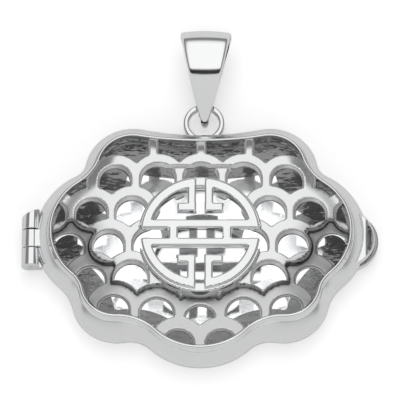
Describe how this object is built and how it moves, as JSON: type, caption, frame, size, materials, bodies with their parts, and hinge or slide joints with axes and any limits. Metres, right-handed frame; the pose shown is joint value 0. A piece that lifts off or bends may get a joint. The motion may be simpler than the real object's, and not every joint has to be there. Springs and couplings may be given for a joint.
{
  "type": "hinged pendant locket with a pierced front and a bail",
  "caption": "Lobed silver locket, hinged at one side, with a domed pierced front of overlapping rings, a round prosperity character and a folded bail.",
  "frame": {"origin": "centre of the back plate's flat outer face, on the surface that the locket lies on", "axes": "+Y toward the bail, +Z out of the pierced front, +X toward the catch"},
  "size_m": [0.0358, 0.0364, 0.0067],
  "materials": {
    "silver": "polished rhodium-plated sterling silver"
  },
  "bodies": {
    "case": {"back_case": "silver", "hinge_pin": "silver", "bail": "silver"},
    "cover": {"front_rim": "silver", "scale_panel": "silver"}
  },
  "joints": [
    {"name": "cover_hinge", "type": "hinge", "parent": "case", "child": "cover", "pos_m": [-0.0171, 0.0011, 0.00215], "axis": [0, -1, 0], "range_deg": [0, 150]}
  ]
}
